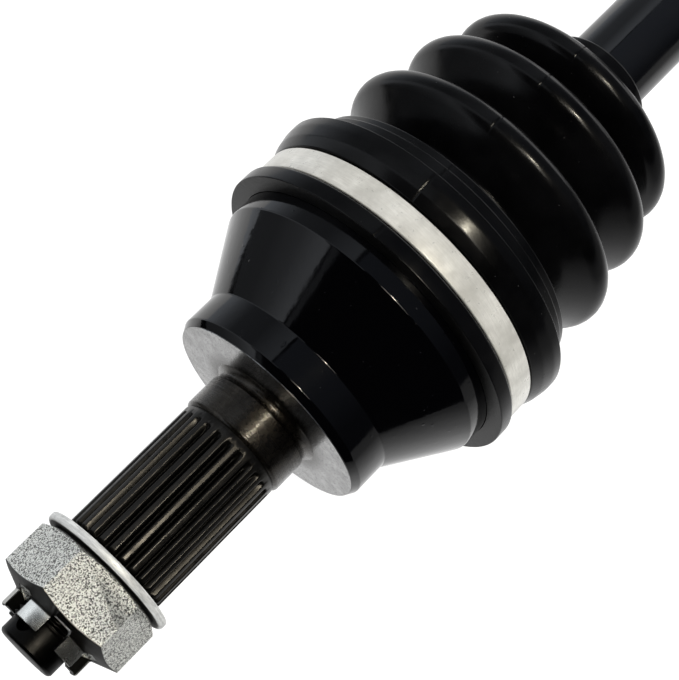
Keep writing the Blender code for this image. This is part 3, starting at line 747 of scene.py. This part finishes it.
def wheel_end_boot():
    """Four lengths that meet at the valleys."""
    rubber, lip = boot_rubber(), lip_rubber()
    wall = OUTBOARD_WALL
    lip_x = 115.3
    bore, seat_outer = BELL_R + FIT_GAP, BELL_R + 2.3
    first, second, third = 147.9, 166.6, 185.0
    v1, r1, v2 = (first, 31.5, 2.0, -1), (159.1, 41.9, 4.3, 1), (second, 29.5, 2.2, -1)
    r2, v3 = (177.7, 38.6, 4.2, 1), (third, 26.5, 1.9, -1)
    r3, v4 = (192.4, 34.3, 4.0, 1), (199.0, NECK_R, 1.2, -1)
    step = (143.4, 41.0, 0.9, 1)
    front = rounded([
        (lip_x, bore), (lip_x, 45.2, 0.35), (119.6, 45.2, 0.8), (120.0, seat_outer, 0.25),
        (128.1, seat_outer, 0.2), (128.4, 44.0, 0.5), (131.2, 45.2, 4.0), (134.4, 45.85, 6.0),
        (137.1, 45.9, 0.4), (137.35, 42.35, 0.3), (141.4, 42.1, 0.6), (141.95, 41.3, 0.2),
    ], 5)
    front += folds([step, v1])
    front_inner = [(lip_x, bore), (136.0, bore), (136.6, 39.8)] + folds([step, v1], wall)
    pieces = [boot_part("outboard_boot_wide_end", front[1:], front_inner, rubber, lined_outside, lip, lip_x)]
    for name, pleats in (("first", [v1, r1, v2]), ("second", [v2, r2, v3])):
        inner = folds(pleats, wall)
        pieces.append(boot_part(f"outboard_boot_{name}_pleat", folds(pleats), inner, rubber, lined_outside))
    neck = rounded([
        (200.3, NECK_R), (205.5, NECK_R, 0.2), (205.8, NECK_LIP_R, 0.3), (209.6, NECK_LIP_R, 0.9),
        (209.6, BAR_R + BAR_GAP),
    ], 4)
    inner = folds([v3, r3, v4], wall)
    inner[-1] = (inner[-1][0], BAR_R + BAR_GAP)
    last = folds([v3, r3, v4]) + neck
    pieces.append(boot_part("outboard_boot_narrow_end", last, inner, rubber, lined_outside))

    def at(x):
        return (x * MM, 0, 0)

    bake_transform(pieces[0])
    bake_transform(pieces[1])
    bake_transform(pieces[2])
    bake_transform(pieces[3])
    return pieces


def gearbox_end_boot():
    """Three lengths, laid out by their distance u from the plunging joint's centre towards the wheel."""
    rubber, lip = boot_rubber(), lip_rubber()
    wall = INBOARD_WALL
    lip_u = 12.5
    bore, seat_outer = CUP_R + FIT_GAP, CUP_R + 2.3
    first, second = 45.0, 61.0
    v1, r1, v2 = (first, 30.5, 2.4, -1), (53.0, 38.0, 3.6, 1), (second, 27.0, 2.4, -1)
    last = [v2, (69.0, 34.5, 3.6, 1), (76.5, 23.5, 2.2, -1), (83.5, 30.0, 3.6, 1), (92.0, NECK_R, 1.6, -1)]
    step = (38.6, 38.0, 0.8, 1)

    def placed(outline):
        return [(PLUNGE_X - u, r) for u, r in outline]

    def lined(x):
        u = PLUNGE_X - x
        return u < 16.6 or any(abs(u - top) < 3.2 for top in (31.0, 36.4, 53.0, 69.0, 83.5))

    front = rounded([
        (lip_u, bore), (lip_u, 41.2, 0.35), (16.4, 41.2, 0.8), (16.8, seat_outer, 0.25),
        (24.8, seat_outer, 0.2), (25.2, 40.9, 0.5), (26.8, 41.6, 1.4), (34.8, 41.55, 0.45),
        (35.15, 38.4, 0.3),
    ], 5)
    front += folds([step, v1])
    inner = [(lip_u, bore), (33.6, bore), (35.0, 36.0)] + folds([step, v1], wall)
    neck = rounded([
        (94.0, NECK_R), (99.9, NECK_R, 0.2), (100.2, NECK_LIP_R, 0.3), (104.0, NECK_LIP_R, 0.9),
        (104.0, BAR_R + BAR_GAP),
    ], 4)
    last_inner = folds(last, wall)
    last_inner[-1] = (last_inner[-1][0], BAR_R + BAR_GAP)
    middle, middle_inner = folds([v1, r1, v2]), folds([v1, r1, v2], wall)
    wide, wide_inner = placed(front[1:]), placed(inner)
    pieces = [
        boot_part("inboard_boot_wide_end", wide, wide_inner, rubber, lined, lip, PLUNGE_X - lip_u),
        boot_part("inboard_boot_first_pleat", placed(middle), placed(middle_inner), rubber, lined),
        boot_part("inboard_boot_narrow_end", placed(folds(last) + neck), placed(last_inner), rubber, lined),
    ]

    def at(u):
        return ((PLUNGE_X - u) * MM, 0, 0)

    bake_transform(pieces[0])
    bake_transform(pieces[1])
    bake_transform(pieces[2])
    return pieces


# ---------------------------------------------------------------- bar and gearbox end


def axle_bar():
    """The painted bar, with a land for its splines, left plain, and a snap ring groove at each end."""
    start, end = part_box("axle_bar")
    x0, x1 = start.x / MM, end.x / MM
    first, last = FIXED_X + 10.3, PLUNGE_X - 9.3
    clips = (FIXED_X - 12.0, FIXED_X - 10.0, PLUNGE_X + 9.0, PLUNGE_X + 11.0)
    land, groove = 11.0, 9.3
    skin = rounded([
        (x0, 9.0), (x0 + 1.8, land, 0.3), (clips[0], land), (clips[0], groove), (clips[1], groove),
        (clips[1], land), (first, land), (first, BAR_R, 0.4), (last, BAR_R, 0.4), (last, land),
        (clips[2], land), (clips[2], groove), (clips[3], groove), (clips[3], land),
        (x1 - 1.8, land, 0.3), (x1, 9.0),
    ], 4)
    return turned("axle_bar", [(x0, 0.0), *skin, (x1, 0.0)], bar_paint(), ring_angles(128))


def inboard_cup():
    """The plunging joint's painted cup, with six straight ball tracks and a groove for its retaining ring."""
    ring_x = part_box("inboard_retaining_ring")[0].x / MM
    mouth = 30.0
    outline = [(PLUNGE_X + 31.5, 0.0), (PLUNGE_X + 31.5, 22.0), (PLUNGE_X + 27.5, mouth)]
    outline += [(ring_x + 1.7, mouth), (ring_x + 1.7, 31.7), (ring_x - 0.3, 31.7), (ring_x - 0.3, mouth)]
    outline += rounded([
        (CUP_MOUTH, mouth, 0.3), (CUP_MOUTH, CUP_R, 0.6), (PLUNGE_X + 32.0, CUP_R, 5.0),
        (PLUNGE_X + 39.0, 24.0, 3.0), (PLUNGE_X + 41.0, 19.7), (PLUNGE_X + 46.0, 19.5),
    ], 6)
    outline += [(PLUNGE_X + 46.0, 13.0), (PLUNGE_X + 45.0, 0.0)]
    cup = turned("inboard_cup", outline, gloss_paint(), sharp=44.0)
    tracks = bmesh.new()
    for ball in range(6):
        circle = [math.tau * i / 32 for i in range(32)]
        ends = []
        for x in (CUP_MOUTH - 2.0, PLUNGE_X + 24.0):
            ends.append([around(x, 25.5 + 8.2 * math.cos(c), 8.2 * math.sin(c), 60.0 * ball) for c in circle])
        loft(tracks, ends)
    boolean(cup, "DIFFERENCE", new_piece("tracks", tracks, None))
    cup.data.shade_smooth()
    cup.data.set_sharp_from_angle(angle=math.radians(44.0))
    return cup


def inboard_stub():
    """The shaft that plugs into the gearbox: journal, oil groove, spline, snap ring groove and chamfer."""
    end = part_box("inboard_housing")[1].x / MM
    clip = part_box("stub_circlip")[0].x / MM
    spline = PLUNGE_X + 62.0
    journal, tip, tooth_height = 14.0, 13.0, 1.15

    def radius_at(x, r, angle):
        if x <= spline - 0.5:
            return r
        turn = abs((angle * TEETH / 360.0) % 1.0 - 0.5) * 2.0
        depth = eased(0.80 - turn, 0.42) * run_out((x - spline - 1.0) / 3.0)
        return min(r, tip - tooth_height * depth)

    outline = [(PLUNGE_X + 44.0, 0.0), (PLUNGE_X + 44.0, 14.9), (PLUNGE_X + 46.0, 14.7)]
    outline += [(PLUNGE_X + 46.5, journal)]
    outline += [(x, journal) for x in stations(PLUNGE_X + 47.0, spline - 3.0, 6)]
    outline += [(spline - 2.4, 13.9), (spline - 1.4, 13.0), (spline - 0.6, 12.9), (spline, tip)]
    outline += [(x, tip) for x in stations(spline + 1.0, spline + 4.0, 9)]
    outline += [(clip - 0.4, tip), (clip - 0.35, 10.8), (clip + 1.75, 10.8), (clip + 1.8, tip)]
    outline += [(end - 1.2, tip), (end - 0.3, 11.9), (end, 11.3), (end, 0.0)]
    finish = oxide_steel("oiled_stub_steel", 0.05, 0.14, 0.0118, 0.0128)
    return turned("inboard_stub", outline, finish, tooth_angles(stations(0.0, 0.9, 9)), radius_at, sharp=50.0)


# ---------------------------------------------------------------- the whole axle

for name, maker, body, node, slot in (
    ("nose", stub_nose, "wheel_end", "outboard_housing", "ground_steel"),
    ("spline", stub_spline, "wheel_end", "outboard_housing", "ground_steel"),
    ("collar", stub_collar, "wheel_end", "outboard_housing", "ground_steel"),
    ("seat", hub_seat, "wheel_end", "outboard_housing", "ground_steel"),
    ("bell", bell, "wheel_end", "outboard_housing", "black_paint"),
    ("nut", castle_nut, "wheel_end", "castle_nut", "zinc_plate"),
    ("washer", flat_washer, "wheel_end", "flat_washer", "zinc_plate"),
    ("bar", axle_bar, "bar", "axle_bar", "black_paint"),
    ("cup", inboard_cup, "gearbox_end", "inboard_housing", "black_paint"),
    ("stub", inboard_stub, "gearbox_end", "inboard_housing", "ground_steel"),
):
    piece = maker()
    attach(piece, body)
    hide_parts(node)

steel_band = clamp_band()
for name, body, inner, ear in (
    ("outboard_boot_large_clamp", "wheel_end", BELL_R + 2.6, (13.0, 1.8)),
    ("outboard_boot_small_clamp", "bar", NECK_R + 0.3, (8.0, 2.2)),
    ("inboard_boot_large_clamp", "gearbox_end", CUP_R + 2.6, (13.0, 1.8)),
    ("inboard_boot_small_clamp", "bar", NECK_R + 0.3, (8.0, 2.2)),
):
    low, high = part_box(name)
    band = clamp(name + "_band", low.x / MM, (high.x - low.x) / MM, inner, inner + 1.0, ear, steel_band)
    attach(band, body)
    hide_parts(name)

for pieces, node in ((wheel_end_boot(), "outboard_boot"), (gearbox_end_boot(), "inboard_boot")):
    for piece in pieces:
        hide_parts(node)


def smooth_ball(name, finish):
    low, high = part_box(name)
    shape = bmesh.new()
    bmesh.ops.create_icosphere(shape, subdivisions=4, radius=(high.x - low.x) / 2)
    ball = new_piece(name + "_polished", shape, finish)
    ball.location = (low + high) / 2
    return ball


polished = ground_steel()
caged = hardened_steel("phosphated_cage", (0.05, 0.05, 0.055), (0.14, 0.14, 0.145))
hardened = hardened_steel("hardened_race", (0.22, 0.215, 0.21), (0.42, 0.41, 0.40))
sprung = hardened_steel("spring_clip", (0.05, 0.048, 0.045), (0.13, 0.125, 0.12))
for name, node in frame["nodes"].items():
    if "_ball_" in name:
        ball = smooth_ball(name, polished)
        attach(ball, node["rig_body"])
        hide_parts(name)
    elif not node.hide_render:
        finish = caged if "cage" in name else hardened if "race" in name and "clip" not in name else sprung
        node.data.materials.clear()
        node.data.materials.append(finish)
        for face in node.data.polygons:
            face.material_index = 0


# ---------------------------------------------------------------- floor, light and camera


def glow(name, colour, strength):
    material = bpy.data.materials.new(name)
    material.use_nodes = True
    shader = material.node_tree.nodes["Principled BSDF"]
    shader.inputs["Base Color"].default_value = (0.0, 0.0, 0.0, 1.0)
    shader.inputs["Specular IOR Level"].default_value = 0.0
    shader.inputs["Roughness"].default_value = 1.0
    shader.inputs["Emission Color"].default_value = (*colour, 1.0)
    shader.inputs["Emission Strength"].default_value = strength
    return material


def sheet(name, corners, material):
    mesh = bpy.data.meshes.new(name)
    mesh.from_pydata([tuple(c) for c in corners], [], [tuple(range(len(corners)))])
    mesh.materials.append(material)
    made = bpy.data.objects.new(name, mesh)
    bpy.context.scene.collection.objects.link(made)
    return made


def paper():
    """A pale, matt sweep, lit from below like a light table so that it shows almost no shadow."""
    material = glow("white_paper", (1.0, 1.0, 1.0), 0.9)
    material.node_tree.nodes["Principled BSDF"].inputs["Base Color"].default_value = (0.3, 0.3, 0.3, 1.0)
    return material


def hide_from(stage_piece, *rays):
    for ray in rays:
        setattr(stage_piece, "visible_" + ray, False)


def table_glow():
    """What glossy surfaces see of the table: bright under the axle, fading towards the near edge."""
    material = glow("table_glow", (1.0, 1.0, 1.0), 1.0)
    tree = material.node_tree
    place = tree.nodes.new("ShaderNodeTexCoord")
    split = tree.nodes.new("ShaderNodeSeparateXYZ")
    fade = tree.nodes.new("ShaderNodeMapRange")
    fade.inputs["From Min"].default_value = -0.122
    fade.inputs["From Max"].default_value = -0.058
    fade.inputs["To Min"].default_value = 0.30
    fade.inputs["To Max"].default_value = 1.0
    tree.links.new(place.outputs["Object"], split.inputs[0])
    tree.links.new(split.outputs["Y"], fade.inputs["Value"])
    tip = tree.nodes.new("ShaderNodeMapRange")
    tip.inputs["From Min"].default_value = 0.035
    tip.inputs["From Max"].default_value = 0.065
    tip.inputs["To Min"].default_value = 0.42
    tip.inputs["To Max"].default_value = 1.0
    tree.links.new(split.outputs["X"], tip.inputs["Value"])
    level = tree.nodes.new("ShaderNodeMath")
    level.operation = "MULTIPLY"
    tree.links.new(fade.outputs[0], level.inputs[0])
    tree.links.new(tip.outputs[0], level.inputs[1])
    tree.links.new(level.outputs[0], tree.nodes["Principled BSDF"].inputs["Emission Strength"])
    return material


ground = cad_box[0].z
sweep = sheet("sweep", [(x, y, ground) for x, y in ((-4, -4), (4, -4), (4, 4), (-4, 4))], paper())
hide_from(sweep, "glossy")
corners = [(-0.07, 0.0), (0.0, -0.072), (0.053, -0.122), (1.6, -1.6), (1.6, 1.6), (0.05, 0.176)]
corners += [(-0.07, 0.10)]
table = sheet("table", [(x, y, ground) for x, y in corners], table_glow())
hide_from(table, "camera", "diffuse", "shadow", "transmission")


def card(name, start, stop, x0, x1, levels, colour=(0.90, 0.94, 1.0)):
    """A curved panel around the axle's line, seen only in reflections.

    Angles run from +Y towards +Z. Its glow runs through the levels, evenly spaced from start to stop.
    """
    steps = 24
    points = []
    for angle in stations(start, stop, steps):
        points += [around(x, CARD_RADIUS, 0.0, angle) for x in (x0, x1)]
    material = glow(name, colour, 1.0)
    tree = material.node_tree
    level = tree.nodes.new("ShaderNodeAttribute")
    level.attribute_name = "level"
    tree.links.new(level.outputs["Fac"], tree.nodes["Principled BSDF"].inputs["Emission Strength"])
    mesh = bpy.data.meshes.new(name)
    mesh.from_pydata(points, [], [(2 * i, 2 * i + 1, 2 * i + 3, 2 * i + 2) for i in range(steps)])
    values = []
    for i in range(steps + 1):
        place = i / steps * (len(levels) - 1)
        before = min(int(place), len(levels) - 2)
        value = levels[before] + (levels[before + 1] - levels[before]) * (place - before)
        values += [value, value]
    mesh.attributes.new("level", "FLOAT", "POINT").data.foreach_set("value", values)
    mesh.materials.append(material)
    made = bpy.data.objects.new(name, mesh)
    bpy.context.scene.collection.objects.link(made)
    hide_from(made, "camera", "diffuse", "shadow")


card("front_softbox", -13.0, 53.5, -2.4, -0.05, (0.14, 0.26, 0.55, 1.25))
card("front_strip", 56.5, 61.5, -2.4, -0.05, (0.28, 0.28))
card("nut_softbox", -30.0, 88.0, -0.05, 0.17, (0.95, 0.90, 0.80, 0.80), (0.88, 0.93, 1.0))
card("rear_softbox", -30.0, 78.0, 0.2, 2.6, (0.80, 0.75, 0.26, 0.26, 0.70), (0.85, 0.91, 1.0))
card("overhead", 80.5, 203.0, 0.25, 2.6, (0.22, 0.20, 0.15, 0.05, 0.03), (0.74, 0.82, 1.0))
card("key_strip", 102.5, 126.5, -0.018, 0.018, (24.0, 24.0), (1.0, 0.95, 0.86))
upright = [(2.4, y, z) for y, z in ((-2.0, -0.5), (2.0, -0.5), (2.0, 0.75), (-2.0, 0.75))]
end_wall = sheet("end_wall", upright, glow("end_wall", (1.0, 1.0, 1.0), 2.2))
hide_from(end_wall, "camera", "diffuse", "shadow")

world = bpy.data.worlds.new("studio")
bpy.context.scene.world = world
world.use_nodes = True
backdrop = world.node_tree.nodes["Background"]
path = world.node_tree.nodes.new("ShaderNodeLightPath")
shade = world.node_tree.nodes.new("ShaderNodeMix")
shade.data_type = "RGBA"
shade.inputs[6].default_value = (0.92, 0.92, 0.93, 1.0)
shade.inputs[7].default_value = (0.0, 0.0, 0.0, 1.0)
world.node_tree.links.new(path.outputs["Is Glossy Ray"], shade.inputs[0])
world.node_tree.links.new(shade.outputs[2], backdrop.inputs["Color"])
backdrop.inputs["Strength"].default_value = 1.0

azimuth, elevation = math.radians(CAMERA_AZIMUTH), math.radians(CAMERA_ELEVATION)
right = Vector((math.cos(azimuth), math.sin(azimuth), 0.0))
level_back = Vector((math.sin(azimuth), -math.cos(azimuth), 0.0)) * math.cos(elevation)
back = level_back + Vector((0.0, 0.0, math.sin(elevation)))
up = back.cross(right)
aside = Vector((0.0, -0.954, -0.300))


def lamp(name, direction, distance, radius, watts, colour):
    data = bpy.data.lights.new(name, "AREA")
    data.shape = "DISK"
    data.size = 2.0 * radius
    data.energy = watts
    data.color = colour
    made = bpy.data.objects.new(name, data)
    bpy.context.scene.collection.objects.link(made)
    made.location = aim + direction.normalized() * distance
    made.rotation_euler = direction.to_track_quat("Z", "Y").to_euler()
    made.visible_camera = False
    return made


aim = Vector((AIM_X * MM, 0.0, 0.0))
lamp("key", Vector(around(0.0, 1.0, 0.0, KEY_ANGLE)), KEY_DISTANCE, 0.045, 6.0, (1.0, 0.92, 0.74))

camera_data = bpy.data.cameras.new("camera")
camera_data.lens = CAMERA_LENS
camera_data.sensor_width = 36.0
camera_data.clip_start = 0.01
camera = bpy.data.objects.new("camera", camera_data)
bpy.context.scene.collection.objects.link(camera)
camera.matrix_world = Matrix((right, up, back)).transposed().to_4x4()
camera.location = aim + back * CAMERA_DISTANCE + aside * 0.00020
bpy.context.scene.camera = camera
bpy.context.scene.view_settings.view_transform = "Standard"
